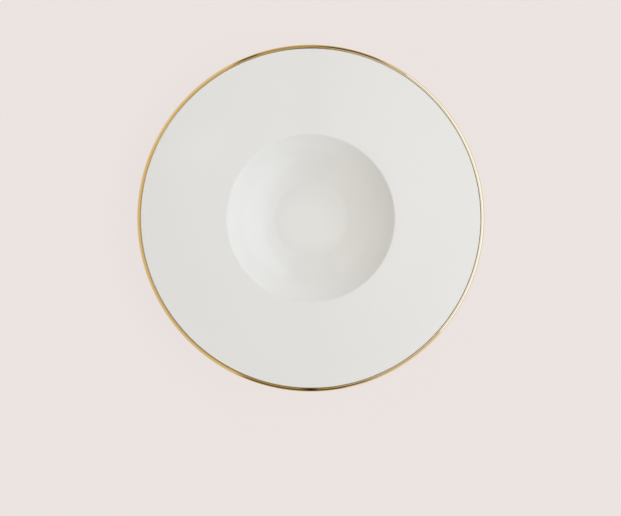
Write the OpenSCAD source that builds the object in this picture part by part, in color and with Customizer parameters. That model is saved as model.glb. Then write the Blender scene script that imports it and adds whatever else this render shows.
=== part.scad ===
// Rimmed soup plate: a wide, nearly flat rim round a small deep well, on a foot ring, with a gilded lip.
// Millimetres, +Z up. The origin is on the plate's axis, on the table that it stands on.
// The plate is a fired china body, a glaze skin that the bare foot face parts in two, and a gold band.

/* [Rim] */
// Diameter over the gilded lip
plate_d = 280; // [250:1:310]
// How far the rim climbs from the well's edge to the lip
rim_rise = 7; // [4:0.5:12]
// How far the middle of the rim hangs below a straight line from the well's edge to the lip
rim_sag = 0.6; // [0.2:0.1:1.2]
// Thickness of the body at the middle of the rim
rim_t = 3.4; // [2.6:0.1:5]
// Thickness of the body at the rounded lip
lip_t = 3; // [2.2:0.1:4]
// Radius that rounds the lip over from above
lip_top_r = 2.1; // [1:0.1:2.4]
// Radius that rounds it from underneath
lip_under_r = 0.7; // [0.3:0.1:1.2]

/* [Well] */
// Diameter of the well at its upper edge
well_d = 136; // [116:1:160]
// Depth of the well's floor below its edge
well_depth = 31; // [26:1:36]
// Diameter of the well's floor, to the corner where the wall starts
floor_d = 61; // [52:1:72]
// How much flatter the wall starts at the floor than it would on a straight slope, in degrees
wall_start_bend = 13; // [6:1:18]
// How much steeper it ends below the well's edge than it would on a straight slope, in degrees
wall_end_bend = 16; // [8:1:22]
// Radius of the hollow corner between the floor and the wall
floor_corner_r = 9; // [4:0.5:14]
// Radius of the rounded edge between the wall and the rim
edge_r = 1.8; // [1.2:0.1:5]
// Thickness of the body in the wall
wall_t = 3.8; // [3:0.1:5]
// Thickness of the body in the floor
floor_t = 4.2; // [3:0.1:6]
// Radius of the hollow under the well's edge, where the wall meets the underside of the rim
under_edge_r = 9; // [6:0.5:14]

/* [Foot ring] */
// How far the foot's outer edge stands outside the floor
foot_out = 11; // [8:0.5:14]
// Depth of the hollow base inside the foot
foot_h = 2.6; // [2:0.1:4]
// Width of the foot where it stands
foot_w = 4; // [3:0.1:6]
// Slope of the foot's sides away from upright, in degrees
foot_draft = 12; // [6:1:18]
// Radius of the foot's two lower corners
foot_round_r = 0.8; // [0.4:0.1:1.2]
// Radius of the hollow corner between the foot and the wall outside it
foot_cove_r = 4; // [2:0.5:6]
// Radius of the hollow corner between the foot and the base inside it
base_cove_r = 1.4; // [0.8:0.1:2]

/* [Glaze and gold] */
// Thickness of the fired glaze
glaze_t = 0.25; // [0.2:0.05:0.4]
// Thickness given to the gold, which is far thinner when it is fired
gold_t = 0.1; // [0.1:0.01:0.2]
// How far the gold runs in over the rim, past the lip's upper rounding
gold_top_w = 0.6; // [0.2:0.1:4]
// How far it runs in underneath, past the lower rounding
gold_under_w = 0.6; // [0.2:0.1:2]

/* [Hidden] */
// Largest gap between a true arc and its chords
arc_tol = 0.004;
// Largest turn of one chord, in degrees
chord_turn = 7.5;
// Share of a straight leg that a small corner may take
corner_share = 0.45;
// Share of the lip's height that its upper rounding may take
lip_top_share = 0.85;
// Share of the room left between two small corners that a long sweep takes
sweep_share = 0.98;
$fn = 180;

// Heights and radii of the bare body
body_r = plate_d / 2 - glaze_t - gold_t;
floor_z = foot_h + floor_t;
edge_z = floor_z + well_depth;
lip_z = edge_z + rim_rise;
foot_r = floor_d / 2 + foot_out;

// Slopes of the wall at the floor and below the edge
wall_slope = atan2(well_depth, (well_d - floor_d) / 2);
wall_low_angle = wall_slope - wall_start_bend;
wall_high_angle = wall_slope + wall_end_bend;

// A direction at an angle, the left-hand normal of a direction, and the turn from one direction to another
function heading(angle) = [cos(angle), sin(angle)];
function left_of(v) = [-v[1], v[0]];
function unit(v) = v / norm(v);
function turn(a, b, c) = atan2(cross(b - a, c - b), (b - a) * (c - b));

// Where the line through p along d meets the line through q along e
function meet(p, d, q, e) = p + d * cross(q - p, e) / cross(d, e);

// The point inside corner b that lies ab_t from the line ab and bc_t from the line bc
function inside(a, b, c, ab_t, bc_t) =
    let (ab = unit(b - a), bc = unit(c - b))
    meet(b - left_of(ab) * ab_t, ab, b - left_of(bc) * bc_t, bc);

// How far along its legs a corner of radius r starts, and the same kept to a share of the shorter leg
function setback(a, b, c, r) = r * tan(abs(turn(a, b, c)) / 2);
function reach(a, b, c, r) = min(setback(a, b, c, r), corner_share * min(norm(b - a), norm(c - b)));

// Stations along an outline are [point, outward normal]. The outline keeps the body on its right.
function station(p, along) = [p, left_of(along)];

// Stations of the arc that rounds corner b and touches its legs at a distance t
function rounded(a, b, c, t) =
    let (
        ab = unit(b - a),
        bend = turn(a, b, c),
        r = t / tan(abs(bend) / 2),
        side = sign(bend),
        centre = b - ab * t + left_of(ab) * r * side,
        start = atan2(ab[1], ab[0]),
        steps = ceil(abs(bend) / min(chord_turn, 2 * acos(1 - arc_tol / r)))
    )
    [for (k = [0 : steps])
        let (n = left_of(heading(start + bend * k / steps)))
        [centre - n * r * side, n]];

// The outline of a skin that lies over some stations, from low to high above the body
function skin(stations, low, high) = concat(
    [for (s = stations) s[0] + s[1] * low],
    [for (k = [len(stations) - 1 : -1 : 0]) stations[k][0] + stations[k][1] * high]
);

// Sharp corners of the body's upper side
axis_top = [0, floor_z];
floor_edge = [floor_d / 2, floor_z];
well_edge = [well_d / 2, edge_z];
knee = meet(floor_edge, heading(wall_low_angle), well_edge, heading(wall_high_angle));
lip_top = [body_r, lip_z];
// A sweep passes half as far from the chord as its corner does.
rim_mid = (well_edge + lip_top) / 2 - [0, 2 * rim_sag];

// Sharp corners of its underside
lip_bottom = lip_top - [0, lip_t];
under_mid = rim_mid - [0, rim_t];
under_edge = inside(knee, well_edge, rim_mid, wall_t, rim_t);
under_knee = inside(floor_edge, knee, well_edge, wall_t, wall_t);
foot_outer = [foot_r, 0];
foot_inner = [foot_r - foot_w, 0];
foot_root = meet(under_knee, heading(wall_low_angle), foot_outer, heading(90 - foot_draft));
base_edge = meet([0, foot_h], heading(0), foot_inner, heading(90 + foot_draft));
axis_bottom = [0, foot_h];

// Where the small corners start along their legs
floor_reach = reach(axis_top, floor_edge, knee, floor_corner_r);
edge_reach = reach(knee, well_edge, rim_mid, edge_r);
lip_top_reach = min(setback(rim_mid, lip_top, lip_bottom, lip_top_r), lip_top_share * lip_t);
lip_under_reach = min(
    setback(lip_top, lip_bottom, under_mid, lip_under_r),
    sweep_share * (lip_t - lip_top_reach)
);
under_edge_reach = reach(under_mid, under_edge, under_knee, under_edge_r);
root_reach = reach(under_knee, foot_root, foot_outer, foot_cove_r);
outer_reach = reach(foot_root, foot_outer, foot_inner, foot_round_r);
inner_reach = reach(foot_outer, foot_inner, base_edge, foot_round_r);
base_reach = reach(foot_inner, base_edge, axis_bottom, base_cove_r);

// Where the gold band starts on the rim and ends underneath
rim_along = unit(lip_top - rim_mid);
gold_start = lip_top - rim_along * (lip_top_reach + gold_top_w);
under_along = unit(under_mid - lip_bottom);
gold_end = lip_bottom + under_along * (lip_under_reach + gold_under_w);

// Long sweeps fill the room that the small corners leave.
knee_reach = sweep_share * min(norm(knee - floor_edge) - floor_reach, norm(well_edge - knee) - edge_reach);
rim_reach = sweep_share * min(norm(rim_mid - well_edge) - edge_reach, norm(gold_start - rim_mid));
under_rim_reach = sweep_share * min(
    norm(under_mid - gold_end),
    norm(under_edge - under_mid) - under_edge_reach
);
under_knee_reach = sweep_share * min(
    norm(under_knee - under_edge) - under_edge_reach,
    norm(foot_root - under_knee) - root_reach
);

// The outline runs from the axis over the rim, round the lip and back underneath, in five stretches.
upper_side = concat(
    [station(axis_top, heading(0))],
    rounded(axis_top, floor_edge, knee, floor_reach),
    rounded(floor_edge, knee, well_edge, knee_reach),
    rounded(knee, well_edge, rim_mid, edge_reach),
    rounded(well_edge, rim_mid, lip_top, rim_reach),
    [station(gold_start, rim_along)]
);
gilded_lip = concat(
    [station(gold_start, rim_along)],
    rounded(rim_mid, lip_top, lip_bottom, lip_top_reach),
    rounded(lip_top, lip_bottom, under_mid, lip_under_reach),
    [station(gold_end, under_along)]
);
foot_corner = rounded(foot_root, foot_outer, foot_inner, outer_reach);
under_side = concat(
    [station(gold_end, under_along)],
    rounded(lip_bottom, under_mid, under_edge, under_rim_reach),
    rounded(under_mid, under_edge, under_knee, under_edge_reach),
    rounded(under_edge, under_knee, foot_root, under_knee_reach),
    rounded(under_knee, foot_root, foot_outer, root_reach),
    [foot_corner[0]]
);
standing_foot = concat(
    foot_corner,
    rounded(foot_outer, foot_inner, base_edge, inner_reach)
);
hollow_base = concat(
    [standing_foot[len(standing_foot) - 1]],
    rounded(foot_inner, base_edge, axis_bottom, base_reach),
    [station(axis_bottom, heading(180))]
);
whole_outline = concat(upper_side, gilded_lip, under_side, standing_foot, hollow_base);

// The fired body, bare only on the face that it stands on
module porcelain_body() {
    color("linen")
        rotate_extrude()
            polygon([for (s = whole_outline) s[0]]);
}

// The glaze over the upper side, round the lip and down the underside to the foot
module glaze_coat() {
    color("whitesmoke")
        rotate_extrude()
            polygon(skin(concat(upper_side, gilded_lip, under_side), 0, glaze_t));
}

// The glaze of the hollow base, which the bare foot face parts from the rest
module base_glaze() {
    color("whitesmoke")
        rotate_extrude()
            polygon(skin(hollow_base, 0, glaze_t));
}

// The gold band that is fired on over the glaze, round the lip
module gold_band() {
    color("goldenrod")
        rotate_extrude()
            polygon(skin(gilded_lip, glaze_t, glaze_t + gold_t));
}

porcelain_body();
glaze_coat();
base_glaze();
gold_band();
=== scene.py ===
"""A rimmed soup plate of glazed white china with a gilded lip, seen from straight above."""
import math

import bmesh
import bpy
from mathutils import Matrix, Vector


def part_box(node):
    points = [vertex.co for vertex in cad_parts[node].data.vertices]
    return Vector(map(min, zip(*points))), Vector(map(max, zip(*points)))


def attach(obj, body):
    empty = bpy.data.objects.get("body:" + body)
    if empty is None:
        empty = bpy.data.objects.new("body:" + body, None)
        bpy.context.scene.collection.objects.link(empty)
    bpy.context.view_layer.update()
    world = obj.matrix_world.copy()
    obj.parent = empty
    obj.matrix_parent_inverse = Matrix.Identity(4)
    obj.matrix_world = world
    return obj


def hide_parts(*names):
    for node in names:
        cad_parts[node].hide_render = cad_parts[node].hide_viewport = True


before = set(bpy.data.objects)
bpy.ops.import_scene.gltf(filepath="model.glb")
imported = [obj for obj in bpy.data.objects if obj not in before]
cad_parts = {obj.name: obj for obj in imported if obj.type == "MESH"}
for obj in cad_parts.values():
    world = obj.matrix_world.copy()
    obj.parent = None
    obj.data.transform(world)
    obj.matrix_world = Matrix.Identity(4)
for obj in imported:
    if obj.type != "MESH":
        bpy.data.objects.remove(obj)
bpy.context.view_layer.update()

MM = 0.001

# The turned section, in metres, as the china is pressed
GLAZE_T = 0.25 * MM
GOLD_T = 0.1 * MM
PLATE_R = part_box("gold_band")[1].x
BODY_R = PLATE_R - GLAZE_T - GOLD_T
RIM_RISE = 7 * MM
RIM_SAG = 0.6 * MM
RIM_T = 3.4 * MM
LIP_T = 3 * MM
LIP_TOP_R = 2.1 * MM
LIP_UNDER_R = 0.7 * MM
WELL_R = 68 * MM
WELL_DEPTH = 31 * MM
FLOOR_R = 30.5 * MM
WALL_START_BEND = math.radians(13)
WALL_END_BEND = math.radians(16)
FLOOR_CORNER_R = 9 * MM
EDGE_R = 1.8 * MM
WALL_T = 3.8 * MM
FLOOR_T = 4.2 * MM
UNDER_EDGE_R = 9 * MM
FOOT_OUT = 11 * MM
FOOT_H = 2.6 * MM
FOOT_W = 4 * MM
FOOT_DRAFT = math.radians(12)
FOOT_ROUND_R = 0.8 * MM
FOOT_COVE_R = 4 * MM
BASE_COVE_R = 1.4 * MM
GOLD_TOP_W = 0.6 * MM
GOLD_UNDER_W = 0.6 * MM
# How much further in the gold runs on the left than on the right
BRUSH_DRIFT = 0.56 * MM
# How much small corners may take of a leg and of the lip's height, and sweeps of the room that is left
CORNER_SHARE = 0.45
LIP_TOP_SHARE = 0.85
SWEEP_SHARE = 0.98

# How finely the section is drawn and turned
QUARTER_STEPS = 48
ARC_TURN = math.radians(4)
ARC_RUN = 3 * MM
STRAIGHT_RUN = 3 * MM
WELD = 0.001 * MM

# The photograph, in its own pixels
IMAGE_W, IMAGE_H = 621, 516
PLATE_PX = (310.8, 218.1)
PLATE_W_PX = 347.8
# The camera's height above the lip in metres, and its sensor's width in millimetres
CAMERA_H = 1.3
SENSOR_W = 36.0

# The tints of the lamps, the last three for the sky that the gold mirrors
WHITE = (1, 1, 1)
COOL = (0.89, 1, 1.18)
FAINTLY_COOL = (0.97, 1, 1.05)
LOW_SKY = (0.0, 0.3, 1.1)
MID_SKY = (0.6, 0.92, 1.8)
HIGH_SKY = (0.4, 0.6, 1.4)


def point(x, z):
    """A point of the section, which is drawn in the plane y = 0."""
    return Vector((x, 0, z))


def heading(angle):
    return point(math.cos(angle), math.sin(angle))


def left_of(along):
    return point(-along.z, along.x)


def cross(a, b):
    return a.x * b.z - a.z * b.x


def meet(p, along_p, q, along_q):
    """Where the line through p crosses the line through q."""
    return p + along_p * (cross(q - p, along_q) / cross(along_p, along_q))


def inside(a, b, c, ab_t, bc_t):
    """The point inside corner b that lies ab_t from the line ab and bc_t from the line bc."""
    ab, bc = (b - a).normalized(), (c - b).normalized()
    return meet(b - left_of(ab) * ab_t, ab, b - left_of(bc) * bc_t, bc)


def turn(a, b, c):
    """How far the section turns to the left at corner b."""
    return math.atan2(cross(b - a, c - b), (b - a).dot(c - b))


def setback(a, b, c, r):
    """How far before corner b an arc of radius r starts."""
    return r * math.tan(abs(turn(a, b, c)) / 2)


def reach(a, b, c, r):
    """The same, kept to a share of the shorter leg."""
    return min(setback(a, b, c, r), CORNER_SHARE * min((b - a).length, (c - b).length))


class Corner:
    """A corner b of the section, rounded by an arc that starts t before it."""

    def __init__(self, a, b, c, t):
        self.bend = turn(a, b, c)
        self.into, self.out = (b - a).normalized(), (c - b).normalized()
        self.start, self.end = b - self.into * t, b + self.out * t
        self.centre = self.start + left_of(self.into) * (t / math.tan(self.bend / 2))


class Stop:
    """A place where a stretch of the section starts or ends, with no turn."""

    def __init__(self, at, along):
        self.bend = 0
        self.into = self.out = along
        self.start = self.end = at


class Section:
    """The outline of a turned piece, drawn by moving one vertex along and extruding it behind."""

    def __init__(self):
        self.mesh = bmesh.new()
        self.tip = None

    def run_to(self, place):
        """A straight run, in short steps. The first one only starts the outline."""
        if self.tip is None:
            self.tip = self.mesh.verts.new(place)
            return
        run = place - self.tip.co
        if run.length < WELD:
            return
        steps = math.ceil(run.length / STRAIGHT_RUN)
        for _ in range(steps):
            self.tip = bmesh.ops.extrude_vert_indiv(self.mesh, verts=[self.tip])["verts"][0]
            bmesh.ops.translate(self.mesh, verts=[self.tip], vec=run / steps)

    def swing(self, centre, bend):
        """An arc about a centre, to the left where bend is positive."""
        run = (self.tip.co - centre).length * abs(bend)
        made = bmesh.ops.spin(
            self.mesh, geom=[self.tip], cent=centre, axis=(0, -1, 0), angle=bend,
            steps=math.ceil(max(abs(bend) / ARC_TURN, run / ARC_RUN)),
        )
        self.tip = made["geom_last"][0]

    def follow(self, stops, lift=0.0):
        """Draws along the china's surface, lifted off it."""
        for stop in stops:
            self.run_to(stop.start + left_of(stop.into) * lift)
            if stop.bend:
                self.swing(stop.centre, stop.bend)

    def follow_back(self, stops, lift=0.0):
        for stop in reversed(stops):
            self.run_to(stop.end + left_of(stop.out) * lift)
            if stop.bend:
                self.swing(stop.centre, -stop.bend)

    def round_over(self, stop, way, low, high):
        """The rounded edge of a skin, up from a stop where way is 1 and down to it where way is -1."""
        centre = stop.start + stop.into * way * (high - low) + left_of(stop.into) * low
        first = -stop.into if way > 0 else left_of(stop.into)
        self.run_to(centre + first * (high - low))
        self.swing(centre, -math.pi / 2)

    def swept(self):
        """What the outline sweeps round the plate's axis, a quarter turn four times over."""
        bmesh.ops.remove_doubles(self.mesh, verts=self.mesh.verts, dist=WELD)
        bmesh.ops.spin(
            self.mesh, geom=self.mesh.verts[:] + self.mesh.edges[:], cent=(0, 0, 0), axis=(0, 0, 1),
            angle=math.pi / 2, steps=QUARTER_STEPS,
        )
        bmesh.ops.spin(
            self.mesh, geom=self.mesh.verts[:] + self.mesh.edges[:] + self.mesh.faces[:], cent=(0, 0, 0),
            axis=(0, 0, 1), angle=math.pi * 3 / 2, steps=3, use_duplicate=True,
        )
        bmesh.ops.remove_doubles(self.mesh, verts=self.mesh.verts, dist=WELD)
        on_axis = [edge for edge in self.mesh.edges if not edge.link_faces]
        bmesh.ops.delete(self.mesh, geom=on_axis, context="EDGES")
        bmesh.ops.recalc_face_normals(self.mesh, faces=self.mesh.faces)
        return self.mesh

    def turned(self, name):
        """The piece that the outline sweeps."""
        shape = self.swept()
        for face in shape.faces:
            face.smooth = True
        data = bpy.data.meshes.new(name)
        shape.to_mesh(data)
        shape.free()
        piece = bpy.data.objects.new(name, data)
        bpy.context.scene.collection.objects.link(piece)
        return piece


# Heights of the floor, the well's edge and the lip, and the wall's slopes
FLOOR_Z = FOOT_H + FLOOR_T
EDGE_Z = FLOOR_Z + WELL_DEPTH
LIP_Z = EDGE_Z + RIM_RISE
FOOT_R = FLOOR_R + FOOT_OUT
WALL_SLOPE = math.atan2(WELL_DEPTH, WELL_R - FLOOR_R)
LOW_HEADING = heading(WALL_SLOPE - WALL_START_BEND)
HIGH_HEADING = heading(WALL_SLOPE + WALL_END_BEND)


def stretches():
    """The china's surface from the middle of the floor to the middle of the base, in its five stretches."""
    axis_top, floor_edge = point(0, FLOOR_Z), point(FLOOR_R, FLOOR_Z)
    well_edge = point(WELL_R, EDGE_Z)
    knee = meet(floor_edge, LOW_HEADING, well_edge, HIGH_HEADING)
    lip_top = point(BODY_R, LIP_Z)
    rim_mid = (well_edge + lip_top) / 2 - point(0, 2 * RIM_SAG)

    lip_bottom = lip_top - point(0, LIP_T)
    under_mid = rim_mid - point(0, RIM_T)
    under_edge = inside(knee, well_edge, rim_mid, WALL_T, RIM_T)
    under_knee = inside(floor_edge, knee, well_edge, WALL_T, WALL_T)
    foot_outer, foot_inner = point(FOOT_R, 0), point(FOOT_R - FOOT_W, 0)
    foot_root = meet(under_knee, LOW_HEADING, foot_outer, heading(math.pi / 2 - FOOT_DRAFT))
    base_edge = meet(point(0, FOOT_H), heading(0), foot_inner, heading(math.pi / 2 + FOOT_DRAFT))
    axis_bottom = point(0, FOOT_H)

    floor_t = reach(axis_top, floor_edge, knee, FLOOR_CORNER_R)
    edge_t = reach(knee, well_edge, rim_mid, EDGE_R)
    lip_top_t = min(setback(rim_mid, lip_top, lip_bottom, LIP_TOP_R), LIP_TOP_SHARE * LIP_T)
    lip_room = SWEEP_SHARE * (LIP_T - lip_top_t)
    lip_under_t = min(setback(lip_top, lip_bottom, under_mid, LIP_UNDER_R), lip_room)
    under_edge_t = reach(under_mid, under_edge, under_knee, UNDER_EDGE_R)
    root_t = reach(under_knee, foot_root, foot_outer, FOOT_COVE_R)
    outer_t = reach(foot_root, foot_outer, foot_inner, FOOT_ROUND_R)
    inner_t = reach(foot_outer, foot_inner, base_edge, FOOT_ROUND_R)
    base_t = reach(foot_inner, base_edge, axis_bottom, BASE_COVE_R)

    rim_along, under_along = (lip_top - rim_mid).normalized(), (under_mid - lip_bottom).normalized()
    gold_start = lip_top - rim_along * (lip_top_t + GOLD_TOP_W)
    gold_end = lip_bottom + under_along * (lip_under_t + GOLD_UNDER_W)

    knee_t = SWEEP_SHARE * min((knee - floor_edge).length - floor_t, (well_edge - knee).length - edge_t)
    rim_t = SWEEP_SHARE * min((rim_mid - well_edge).length - edge_t, (gold_start - rim_mid).length)
    under_rim_t = SWEEP_SHARE * min(
        (under_mid - gold_end).length, (under_edge - under_mid).length - under_edge_t
    )
    under_knee_t = SWEEP_SHARE * min(
        (under_knee - under_edge).length - under_edge_t, (foot_root - under_knee).length - root_t
    )
    foot_corner = Corner(foot_root, foot_outer, foot_inner, outer_t)
    heel_corner = Corner(foot_outer, foot_inner, base_edge, inner_t)

    upper_side = [
        Stop(axis_top, heading(0)),
        Corner(axis_top, floor_edge, knee, floor_t),
        Corner(floor_edge, knee, well_edge, knee_t),
        Corner(knee, well_edge, rim_mid, edge_t),
        Corner(well_edge, rim_mid, lip_top, rim_t),
        Stop(gold_start, rim_along),
    ]
    gilded_lip = [
        Stop(gold_start, rim_along),
        Corner(rim_mid, lip_top, lip_bottom, lip_top_t),
        Corner(lip_top, lip_bottom, under_mid, lip_under_t),
        Stop(gold_end, under_along),
    ]
    under_side = [
        Stop(gold_end, under_along),
        Corner(lip_bottom, under_mid, under_edge, under_rim_t),
        Corner(under_mid, under_edge, under_knee, under_edge_t),
        Corner(under_edge, under_knee, foot_root, under_knee_t),
        Corner(under_knee, foot_root, foot_outer, root_t),
        Stop(foot_corner.start, foot_corner.into),
    ]
    standing_foot = [foot_corner, heel_corner]
    hollow_base = [
        Stop(heel_corner.end, heel_corner.out),
        Corner(foot_inner, base_edge, axis_bottom, base_t),
        Stop(axis_bottom, heading(math.pi)),
    ]
    return upper_side, gilded_lip, under_side, standing_foot, hollow_base


UPPER_SIDE, GILDED_LIP, UNDER_SIDE, STANDING_FOOT, HOLLOW_BASE = stretches()


def turned_china():
    """The fired body."""
    section = Section()
    for stretch in (UPPER_SIDE, GILDED_LIP, UNDER_SIDE, STANDING_FOOT, HOLLOW_BASE):
        section.follow(stretch)
    return section.turned("china_body")


def turned_skin(name, stops, low, high):
    """A skin over the china between two heights, its edges rounded over where they don't meet the axis."""
    section = Section()
    first, last = stops[0], stops[-1]
    starts_free, ends_free = first.start.x > WELD, last.start.x > WELD
    if starts_free:
        section.round_over(first, 1, low, high)
    section.follow(stops[1 if starts_free else 0:-1 if ends_free else None], high)
    if ends_free:
        section.round_over(last, -1, low, high)
    section.follow_back(stops, low)
    return section.turned(name)


def brushed_line():
    """The gold line, banded by hand, so that its inner edge runs further in on the left."""
    line = turned_skin("gold_line", GILDED_LIP, GLAZE_T, GLAZE_T + GOLD_T)
    edge = GILDED_LIP[0]
    shape = bmesh.new()
    shape.from_mesh(line.data)
    for vert in shape.verts:
        radius = math.hypot(vert.co.x, vert.co.y)
        if radius < edge.start.x + 2 * GOLD_T:
            out_x, out_y = vert.co.x / radius, vert.co.y / radius
            drift = BRUSH_DRIFT * ((1 - out_x) / 2) ** 2
            vert.co -= Vector((out_x * edge.into.x, out_y * edge.into.x, edge.into.z)) * drift
    shape.to_mesh(line.data)
    shape.free()
    return line


class Wire:
    """A socket of a finish's node tree. Arithmetic on it adds Math nodes."""

    def __init__(self, finish, socket):
        self.finish, self.socket = finish, socket

    def _math(self, operation, first, second):
        return self.finish.node("ShaderNodeMath", {"operation": operation}, {0: first, 1: second})

    def __add__(self, other):
        return self._math("ADD", self, other)

    def __radd__(self, other):
        return self._math("ADD", other, self)

    def __sub__(self, other):
        return self._math("SUBTRACT", self, other)

    def __rsub__(self, other):
        return self._math("SUBTRACT", other, self)

    def __mul__(self, other):
        return self._math("MULTIPLY", self, other)

    def __rmul__(self, other):
        return self._math("MULTIPLY", other, self)


class Nodes:
    """The node tree of a material or a world, built up node by node."""

    def __init__(self, owner):
        owner.use_nodes = True
        self.tree = owner.node_tree
        self.tree.nodes.clear()

    def node(self, kind, settings=None, values=None, output=0):
        """A node of that kind with its settings, then its inputs' values or wires. Gives one output."""
        made = self.tree.nodes.new(kind)
        for name, value in (settings or {}).items():
            setattr(made, name, value)
        for name, value in (values or {}).items():
            if isinstance(value, Wire):
                self.tree.links.new(value.socket, made.inputs[name])
            else:
                made.inputs[name].default_value = value
        return Wire(self, made.outputs[output])

    def end(self, kind, shader):
        """Ends the tree in a shader."""
        self.tree.links.new(shader.socket, self.tree.nodes.new(kind).inputs["Surface"])

    def seen(self):
        """1 for what the camera sees, straight, in gloss or through glass, and 0 for what lights things."""
        return self.ray("Camera") + self.ray("Glossy") + self.ray("Transmission")

    def ray(self, kind):
        return self.node("ShaderNodeLightPath", {}, {}, f"Is {kind} Ray")

    def share(self, value, start, end):
        """0 to 1 as a value goes from start to end, with soft ends."""
        soft = {"interpolation_type": "SMOOTHSTEP"}
        return self.node("ShaderNodeMapRange", soft, {0: value, 1: start, 2: end})

    def parts(self, vector):
        return [self.node("ShaderNodeSeparateXYZ", {}, {0: vector}, axis) for axis in "XYZ"]

    def bearing(self, along, across):
        """The angle of a direction, from the first axis towards the second."""
        return self.node("ShaderNodeMath", {"operation": "ARCTAN2"}, {0: across, 1: along})

    def size(self, value):
        """A value without its sign."""
        return self.node("ShaderNodeMath", {"operation": "ABSOLUTE"}, {0: value})

    def distance(self, along, across):
        return self.node("ShaderNodeMath", {"operation": "SQRT"}, {0: along * along + across * across})

    def mix(self, share, low, high):
        """A colour between two colours."""
        return self.node("ShaderNodeMix", {"data_type": "RGBA"}, {0: share, 6: low, 7: high}, 2)

    def ramp(self, share, stops):
        """A colour from a list of (share, colour) stops."""
        ramp = self.node("ShaderNodeValToRGB", {}, {0: share})
        elements = ramp.socket.node.color_ramp.elements
        for at, shade in stops[1:-1]:
            elements.new(at).color = shade
        elements[0].color, elements[-1].color = stops[0][1], stops[-1][1]
        return ramp


class Finish(Nodes):
    """A procedural material."""

    def __init__(self, name):
        self.material = bpy.data.materials.new(name)
        super().__init__(self.material)

    def noise(self, waves, detail=2.0, roughness=0.5, place=None):
        """Cloudy noise from 0 to 1, with that many waves to the metre."""
        values = {"Scale": waves, "Detail": detail, "Roughness": roughness, "Vector": place or self.place()}
        return self.node("ShaderNodeTexNoise", {}, values)

    def place(self):
        return self.node("ShaderNodeTexCoord", {}, {}, "Object")

    def bump(self, height, distance, below=None):
        """A surface normal, roughened by a height from 0 to 1 that stands for a distance in metres."""
        values = {"Strength": 1.0, "Distance": distance, "Height": height}
        if below:
            values["Normal"] = below
        return self.node("ShaderNodeBump", {}, values)

    def surface(self, **values):
        """Ends in the Principled shader, its sockets named with underscores. Gives the material."""
        named = {name.replace("_", " "): value for name, value in values.items()}
        return self.finish_in(self.node("ShaderNodeBsdfPrincipled", {}, named))

    def finish_in(self, shader):
        self.end("ShaderNodeOutputMaterial", shader)
        return self.material


def colour(red, green, blue):
    return (red, green, blue, 1.0)


# The tones of the table top, the glaze and its specks, the gold and the bare china
PALE_PINK = colour(0.856, 0.791, 0.77)
GREY_WHITE, WARM_WHITE = colour(0.815, 0.806, 0.775), colour(0.83, 0.822, 0.793)
SPECK_BROWN = colour(0.42, 0.38, 0.3)
DEEP_GOLD, LIGHT_GOLD = colour(0.82, 0.61, 0.29), colour(0.92, 0.72, 0.39)
DARK_BISQUE, LIGHT_BISQUE = colour(0.74, 0.7, 0.62), colour(0.82, 0.79, 0.73)

# Waves to the metre of what varies in the glaze, the gold and the bare china
GLAZE_CLOUDS, GLAZE_RIPPLES, GLAZE_DIMPLES, GLAZE_SHEEN = 14.0, 55.0, 210.0, 260.0
STREAKS_ALONG, STREAKS_ACROSS = 90.0, 2200.0
GOLD_DENTS, GOLD_SHEEN = 700.0, 900.0
BISQUE_CLOUDS, BISQUE_GRAIN = 300.0, 3500.0

# How high these stand off the surface
RIPPLE_H = 0.012 * MM
DIMPLE_H = 0.003 * MM
DENT_H = 0.0015 * MM
GRAIN_H = 0.02 * MM

# Pin specks: cells to the metre that hold one each, its core and its edge in cells, and how much it shows
SPECK_CELLS = 140.0
SPECK_CORE, SPECK_EDGE = 0.015, 0.035
SPECK_SHARE = 0.4

# How strongly glaze and china bend light
CHINA_IOR = 1.5


def glaze_finish():
    """Clear glaze over warm white china, with a few pin specks."""
    glaze = Finish("clear_glaze")
    white = glaze.mix(glaze.noise(GLAZE_CLOUDS, detail=3.0), GREY_WHITE, WARM_WHITE)
    cells = {"Scale": SPECK_CELLS, "Vector": glaze.place()}
    centre_off = glaze.node("ShaderNodeTexVoronoi", {}, cells, "Distance")
    speck = SPECK_SHARE * glaze.share(centre_off, SPECK_EDGE, SPECK_CORE)
    ripple = glaze.bump(glaze.noise(GLAZE_RIPPLES, detail=1.0), RIPPLE_H)
    return glaze.surface(
        Base_Color=glaze.mix(speck, white, SPECK_BROWN),
        Roughness=0.03 + 0.03 * glaze.noise(GLAZE_SHEEN, detail=3.0),
        IOR=CHINA_IOR,
        Normal=glaze.bump(glaze.noise(GLAZE_DIMPLES), DIMPLE_H, ripple),
    )


def gold_finish():
    """Burnished gold, faintly streaked along the band as the brush laid it."""
    gold = Finish("burnished_gold")
    x, y, z = gold.parts(gold.place())
    radius = gold.distance(x, y)
    along_band = {0: STREAKS_ALONG * x, 1: STREAKS_ALONG * y, 2: STREAKS_ACROSS * (radius - z)}
    stretched = gold.node("ShaderNodeCombineXYZ", {}, along_band)
    streak = gold.noise(waves=1.0, detail=3.0, roughness=0.6, place=stretched)
    return gold.surface(
        Base_Color=gold.mix(streak, DEEP_GOLD, LIGHT_GOLD),
        Metallic=1.0,
        Roughness=0.01 + 0.03 * gold.noise(GOLD_SHEEN, detail=3.0) + 0.04 * streak,
        Normal=gold.bump(gold.noise(GOLD_DENTS, detail=3.0), DENT_H),
    )


def bisque_finish():
    """Bare fired china."""
    bisque = Finish("bare_bisque")
    clouds = bisque.noise(BISQUE_CLOUDS, detail=4.0)
    grain = bisque.noise(BISQUE_GRAIN, detail=3.0, roughness=0.7)
    return bisque.surface(
        Base_Color=bisque.mix(clouds, DARK_BISQUE, LIGHT_BISQUE),
        Roughness=0.7 + 0.2 * grain,
        IOR=CHINA_IOR,
        Normal=bisque.bump(grain, GRAIN_H),
    )


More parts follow.
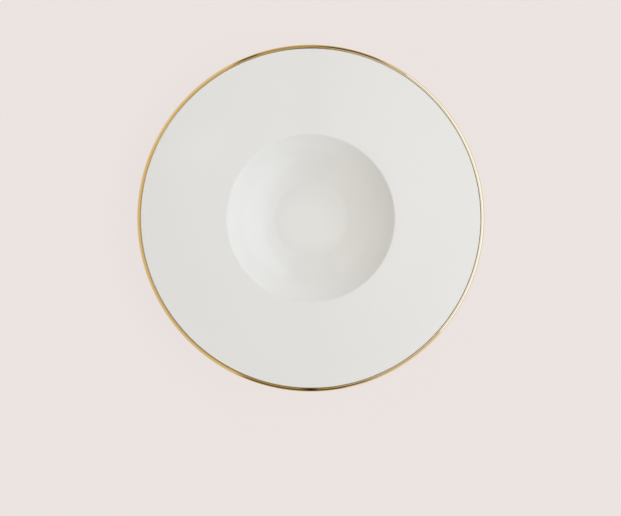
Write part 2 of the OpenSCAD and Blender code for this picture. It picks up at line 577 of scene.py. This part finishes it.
# The pieces that the window's lamp lights, and the one that the sky lights
PIECES = bpy.data.collections.new("plate_pieces")
GILDING = bpy.data.collections.new("gilded_pieces")


def dress(piece, finish, node):
    """Gives a piece its finish, puts it with the plate's pieces on the root body, and hides the solid that
    it takes the place of.
    """
    PIECES.objects.link(piece)
    piece.data.materials.append(finish)
    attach(piece, "root")
    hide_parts(node)


dress(turned_china(), bisque_finish(), "porcelain_body")

GLAZE = glaze_finish()
GLAZED_SIDES = UPPER_SIDE + GILDED_LIP + UNDER_SIDE
dress(turned_skin("glaze_skin", GLAZED_SIDES, 0, GLAZE_T), GLAZE, "glaze_coat")
dress(turned_skin("base_glaze_disc", HOLLOW_BASE, 0, GLAZE_T), GLAZE, "base_glaze")

GOLD_LINE = brushed_line()
GILDING.objects.link(GOLD_LINE)
dress(GOLD_LINE, gold_finish(), "gold_band")

# The table top: its radius and sides, and how far below the foot it lies
TABLE_R, TABLE_SIDES = 12, 64
TABLE_DROP = 0.05 * MM
# How much of its tone is a glow of its own, as it lights the plate and as it is seen
GLOW_SHARE, SEEN_GLOW_SHARE = 0.5, 0.88


def pale_floor():
    """A plain table top, shown in its own colour with a share of its shading. It is clear from below."""
    tabletop = Finish("pale_table")
    lit = tabletop.node("ShaderNodeBsdfDiffuse", {}, {"Color": PALE_PINK})
    glow = tabletop.node("ShaderNodeEmission", {}, {"Color": PALE_PINK, "Strength": 1.0})
    glowing = GLOW_SHARE + tabletop.seen() * (SEEN_GLOW_SHARE - GLOW_SHARE)
    mixed = tabletop.node("ShaderNodeMixShader", {}, {0: glowing, 1: lit, 2: glow})
    clear = tabletop.node("ShaderNodeBsdfTransparent", {}, {})
    behind = tabletop.node("ShaderNodeNewGeometry", {}, {}, "Backfacing")
    material = tabletop.finish_in(tabletop.node("ShaderNodeMixShader", {}, {0: behind, 1: mixed, 2: clear}))
    shape = bmesh.new()
    bmesh.ops.create_circle(shape, cap_ends=True, segments=TABLE_SIDES, radius=TABLE_R)
    bmesh.ops.translate(shape, verts=shape.verts, vec=(0, 0, -TABLE_DROP))
    data = bpy.data.meshes.new("table_top")
    shape.to_mesh(data)
    shape.free()
    floor = bpy.data.objects.new("table_top", data)
    floor.data.materials.append(material)
    bpy.context.scene.collection.objects.link(floor)


pale_floor()


def soft_box(name, place, aim, width, height, radiance, tint=WHITE):
    """A flat lamp of that radiance at a place, facing a point. It is neither seen nor mirrored."""
    data = bpy.data.lights.new(name, "AREA")
    data.shape = "RECTANGLE"
    data.size, data.size_y = width, height
    data.energy = math.pi * width * height * radiance
    data.color = tint
    lamp = bpy.data.objects.new(name, data)
    lamp.location = place
    lamp.rotation_euler = (Vector(aim) - Vector(place)).to_track_quat("-Z", "Y").to_euler()
    lamp.visible_camera = lamp.visible_glossy = False
    bpy.context.scene.collection.objects.link(lamp)
    return lamp


def upright_box(name, x, y, low, high, width, radiance, tint):
    """A soft box on the right that stands upright between two heights and faces left."""
    middle = (low + high) / 2
    return soft_box(name, (x, y, middle), (0, y, middle), width, high - low, radiance, tint)


def for_gold_only(sky):
    """Keeps a lamp for the gold, which also mirrors it."""
    sky.light_linking.receiver_collection = GILDING
    sky.visible_glossy = True


# Where the plate stands, which the lamps face and the cards turn round
PLATE = (0, 0, 0)
# The window's lamp on the right, where it stands and how tall it is
WINDOW_X, WINDOW_Y = 0.3, -0.05
WINDOW_TOP = 0.275
LAMP_W = 1.8
# The fill: how deep each lamp is, where the right one hangs, and how far out and high the three others do
FILL_D = 0.9
RIGHT_FILL = (0.94, 0, 1.77)
FILL_OUT, FILL_H = 1.64, 1.15
# The sky beyond the window: where its upright part stands, its width, and where it pales and ends
SKY_X, SKY_Y, SKY_W = 0.7, 0.245, 1.67
SKY_PALES, SKY_TOP = 0.466, 1.1
# The sky's part overhead, its place and its size
OVERHEAD_X, OVERHEAD_Y, OVERHEAD_H = 0.42, 0.08, 1.3
OVERHEAD_W, OVERHEAD_D = 0.75, 0.8

# The window lights only the plate, so that the table stays plain
window = upright_box("window", WINDOW_X, WINDOW_Y, 0, WINDOW_TOP, LAMP_W, radiance=1.12, tint=COOL)
window.light_linking.receiver_collection = PIECES
soft_box("right_fill", RIGHT_FILL, PLATE, LAMP_W, FILL_D, radiance=2.6, tint=FAINTLY_COOL)
soft_box("left_low_fill", (-FILL_OUT, 0, FILL_H), PLATE, LAMP_W, FILL_D, radiance=1.08)
soft_box("back_low_fill", (0, FILL_OUT, FILL_H), PLATE, LAMP_W, FILL_D, radiance=1.35)
soft_box("front_low_fill", (0, -FILL_OUT, FILL_H), PLATE, LAMP_W, FILL_D, radiance=1.15)
for_gold_only(upright_box("low_sky", SKY_X, SKY_Y, 0, SKY_PALES, SKY_W, radiance=1.0, tint=LOW_SKY))
for_gold_only(upright_box("mid_sky", SKY_X, SKY_Y, SKY_PALES, SKY_TOP, SKY_W, radiance=1.0, tint=MID_SKY))
for_gold_only(soft_box(
    "high_sky", (OVERHEAD_X, OVERHEAD_Y, OVERHEAD_H), (OVERHEAD_X, OVERHEAD_Y, 0),
    OVERHEAD_W, OVERHEAD_D, radiance=1.0, tint=HIGH_SKY,
))


def mirrored(name, shape, finish, shade, share=1.0):
    """A sheet that only the gloss shows, with a share of its shade. It throws no shadow and no light."""
    painted = finish.node("ShaderNodeEmission", {}, {"Color": shade})
    clear = finish.node("ShaderNodeBsdfTransparent", {}, {})
    data = bpy.data.meshes.new(name)
    shape.to_mesh(data)
    shape.free()
    mixed = finish.node("ShaderNodeMixShader", {}, {0: share, 1: clear, 2: painted})
    data.materials.append(finish.finish_in(mixed))
    sheet = bpy.data.objects.new(name, data)
    sheet.visible_camera = sheet.visible_diffuse = sheet.visible_shadow = False
    bpy.context.scene.collection.objects.link(sheet)


def level_card(width, depth, place):
    """A flat sheet that hangs level, its middle at a place."""
    shape = bmesh.new()
    bmesh.ops.create_grid(shape, x_segments=1, y_segments=1, size=0.5)
    bmesh.ops.scale(shape, verts=shape.verts, vec=(width, depth, 1))
    bmesh.ops.translate(shape, verts=shape.verts, vec=place)
    return shape


def curved_card(low, high, start, end, centre=PLATE):
    """A sheet curved round a centre, between two (radius, height) places and two angles in degrees."""
    shape = bmesh.new()
    edge = [shape.verts.new((radius, 0, height)) for radius, height in (low, high)]
    bmesh.ops.rotate(shape, verts=edge, cent=PLATE, matrix=Matrix.Rotation(math.radians(start), 3, "Z"))
    turned = math.radians(end - start)
    bmesh.ops.spin(
        shape, geom=edge + [shape.edges.new(edge)], cent=PLATE, axis=(0, 0, 1), angle=turned,
        steps=math.ceil(turned / CARD_TURN),
    )
    bmesh.ops.translate(shape, verts=shape.verts, vec=centre)
    return shape


# What the gloss mirrors
CARD_TURN = math.radians(2)
GLARE = colour(1.6, 1.6, 1.7)
PANE_LIGHT = colour(1.1, 1.14, 1.22)
WHITE_LIGHT = colour(1.2, 1.2, 1.2)
DARK = colour(0.12, 0.1, 0.07)
BLACK = colour(0.01, 0.01, 0.01)

# The pane: the circle that it follows, its height and its turn, and where it is full and where it has faded
PANE_CENTRE, PANE_R = (-4.2, 0, 0), 5.2
PANE_H, PANE_TURN = 0.76, 42
PANE_MIDDLE_Y = -0.3
PANE_FULL, PANE_FADED = 1.85, 2.1


def mirrored_window():
    """A pane far to the right that fades out at both ends."""
    pane = Finish("window_pane")
    _, y, _ = pane.parts(pane.place())
    share = pane.share(pane.size(y - PANE_MIDDLE_Y), PANE_FADED, PANE_FULL)
    shape = curved_card((PANE_R, 0), (PANE_R, PANE_H), -PANE_TURN, PANE_TURN, PANE_CENTRE)
    mirrored("window_pane", shape, pane, PANE_LIGHT, share)


# How far off the plate's axis the standing cards are
CARD_R = 0.6


def standing_card(name, low, high, middle, reach, shade):
    """A curved card between two heights, softer towards its top and towards its ends in degrees."""
    card = Finish(name)
    x, y, z = card.parts(card.place())
    off_middle = card.size(card.bearing(x, y) - math.radians(middle))
    below_top = card.share(z, high, (low + high) / 2)
    off_ends = card.share(off_middle, math.radians(reach), math.radians(reach / 2))
    shape = curved_card((CARD_R, low), (CARD_R, high), middle - reach, middle + reach)
    mirrored(name, shape, card, shade, below_top * off_ends)


# The stand over the plate: its height, and how far below one another its parts hang
STAND_Z = 1.4
LAYER = 0.01
# Its tones, and the radii between which one gives way to the other
STAND_MIDDLE, STAND_EDGE = colour(0.6, 0.55, 0.47), colour(0.15, 0.13, 0.11)
STAND_BLEND = (0.04, 0.08)


def mirrored_stand():
    """The stand that holds the camera, darker towards its edge, with a small light on it."""
    stand = Finish("stand")
    x, y, _ = stand.parts(stand.place())
    edge_share = stand.share(stand.distance(x, y), *STAND_BLEND)
    tint = stand.mix(edge_share, STAND_MIDDLE, STAND_EDGE)
    top = level_card(width=0.23, depth=0.24, place=(-0.015, 0, STAND_Z))
    light = level_card(width=0.022, depth=0.013, place=(0.045, 0.005, STAND_Z - LAYER))
    arm = level_card(width=0.009, depth=0.9, place=(0, -0.05, STAND_Z - 2 * LAYER))
    rail = level_card(width=0.034, depth=0.53, place=(0, -0.485, STAND_Z - 3 * LAYER))
    mirrored("camera_stand", top, stand, tint)
    mirrored("stand_arm", arm, Finish("stand_arm"), BLACK)
    mirrored("stand_rail", rail, Finish("stand_rail"), BLACK)
    mirrored("stand_light", light, Finish("stand_light"), WHITE_LIGHT)


mirrored_window()
mirrored_stand()
standing_card("front_shade", low=0.102, high=0.17, middle=-88, reach=34, shade=DARK)
standing_card("lit_bar", low=0.25, high=0.301, middle=136, reach=26, shade=GLARE)

# The walls, the ceiling on the left and on the right, and the light that they throw on the plate
WARM_WALL = colour(0.73, 0.67, 0.49)
COOL_WALL = colour(0.42, 0.41, 0.39)
BROWN = colour(0.46, 0.38, 0.26)
WARM_CEILING = colour(0.58, 0.52, 0.37)
COOL_CEILING = colour(0.62, 0.67, 0.75)
ROOM_LIGHT = colour(1, 0.937, 0.85)
ROOM_STRENGTH = 0.363
# The walls' tints, each at its angle in degrees from the middle of the window, negative towards the front
WALL_TINTS = [
    (-180, WARM_WALL), (-117, WARM_WALL), (-112, DARK), (-92.5, DARK), (-92, BLACK), (-88, BLACK),
    (-87.5, DARK), (-71, DARK), (-66, COOL_WALL), (63, COOL_WALL), (68, DARK), (83, DARK),
    (90, BROWN), (106, BROWN), (108, DARK), (113, DARK), (117, WARM_WALL), (180, WARM_WALL),
]
# How steeply a look has to rise for the walls to start to blend into the ceiling, and to end
CEILING_BLEND = (math.radians(62), math.radians(80))
# How far to the right a look upwards has to lean before the ceiling is all cool
COOL_FROM = 0.2


def studio_walls():
    """The room in gloss, with warm walls, dark corners and a plain ceiling. It lights things in one tone."""
    world = bpy.data.worlds.new("studio_walls")
    walls = Nodes(world)
    x, y, z = walls.parts(walls.node("ShaderNodeTexCoord", {}, {}, "Generated"))
    turned = walls.bearing(x, y) * (0.5 / math.pi) + 0.5
    around = walls.ramp(turned, [((angle + 180) / 360, tint) for angle, tint in WALL_TINTS])
    ceiling = walls.mix(walls.share(x, 0.0, COOL_FROM), WARM_CEILING, COOL_CEILING)
    rise = walls.bearing(walls.distance(x, y), z)
    room = walls.mix(walls.share(rise, *CEILING_BLEND), around, ceiling)
    shown = walls.mix(walls.ray("Camera"), room, PALE_PINK)
    seen = walls.node("ShaderNodeBackground", {}, {"Color": shown, "Strength": 1.0})
    lighting = walls.node("ShaderNodeBackground", {}, {"Color": ROOM_LIGHT, "Strength": ROOM_STRENGTH})
    mixed = walls.node("ShaderNodeMixShader", {}, {0: walls.seen(), 1: lighting, 2: seen})
    walls.end("ShaderNodeOutputWorld", mixed)
    bpy.context.scene.world = world


studio_walls()


def look_down():
    """A camera straight above, placed so that the plate lies where the photograph has it."""
    px = 2 * PLATE_R / PLATE_W_PX
    data = bpy.data.cameras.new("camera")
    data.sensor_width = SENSOR_W
    data.lens = SENSOR_W * CAMERA_H / (IMAGE_W * px)
    camera = bpy.data.objects.new("camera", data)
    camera.location = (
        (IMAGE_W / 2 - PLATE_PX[0]) * px,
        (PLATE_PX[1] - IMAGE_H / 2) * px,
        LIP_Z + CAMERA_H,
    )
    bpy.context.scene.collection.objects.link(camera)
    bpy.context.scene.camera = camera


look_down()
bpy.context.scene.view_settings.view_transform = "Standard"
